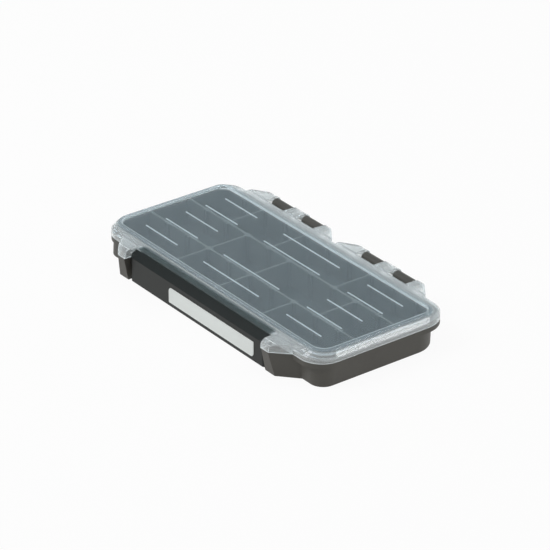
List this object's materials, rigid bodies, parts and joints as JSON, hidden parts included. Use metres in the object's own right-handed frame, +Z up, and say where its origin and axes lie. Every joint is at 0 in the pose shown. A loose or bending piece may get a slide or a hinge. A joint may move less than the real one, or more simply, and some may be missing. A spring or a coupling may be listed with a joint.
{
  "type": "tackle utility box",
  "caption": "Shallow rectangular utility box for small fishing tackle, with a clear hinged lid, a long latch bar at the front and upright dividers between row walls.",
  "frame": {"origin": "centre of the bounding box in X and Y, on the surface that the tray's floor rests on", "axes": "+X along the box, to the right seen from the latch; -Y is the latch side, +Y the hinge side; +Z up"},
  "size_m": [0.2322, 0.1296, 0.024],
  "materials": {
    "tray_plastic": "fine matt moulded, warm charcoal",
    "lid_plastic": "clear, slightly hazed moulded plastic",
    "latch_plastic": "semi-gloss moulded, near black",
    "label_film": "blank matt white write-on film",
    "seal_rubber": "soft matt dark grey",
    "pin_steel": "drawn wire"
  },
  "bodies": {
    "base": {"base_tray": "tray_plastic", "rim_seal": "seal_rubber", "divider_front_1": "tray_plastic", "divider_front_2": "tray_plastic", "divider_front_3": "tray_plastic", "divider_middle_1": "tray_plastic", "divider_middle_2": "tray_plastic", "divider_middle_3": "tray_plastic", "divider_back_1": "tray_plastic", "divider_back_2": "tray_plastic", "divider_back_3": "tray_plastic", "hinge_pin_1": "pin_steel", "hinge_pin_2": "pin_steel"},
    "lid": {"lid": "lid_plastic"},
    "latch": {"latch": "latch_plastic", "write_on_label": "label_film"}
  },
  "joints": [
    {"name": "lid_hinge", "type": "hinge", "parent": "base", "child": "lid", "pos_m": [0, 0.0604, 0.0176], "axis": [-1, 0, 0], "range_deg": [0, 180]},
    {"name": "latch_pivot", "type": "hinge", "parent": "lid", "child": "latch", "pos_m": [0, -0.058, 0.018], "axis": [-1, 0, 0], "range_deg": [0, 110]}
  ]
}
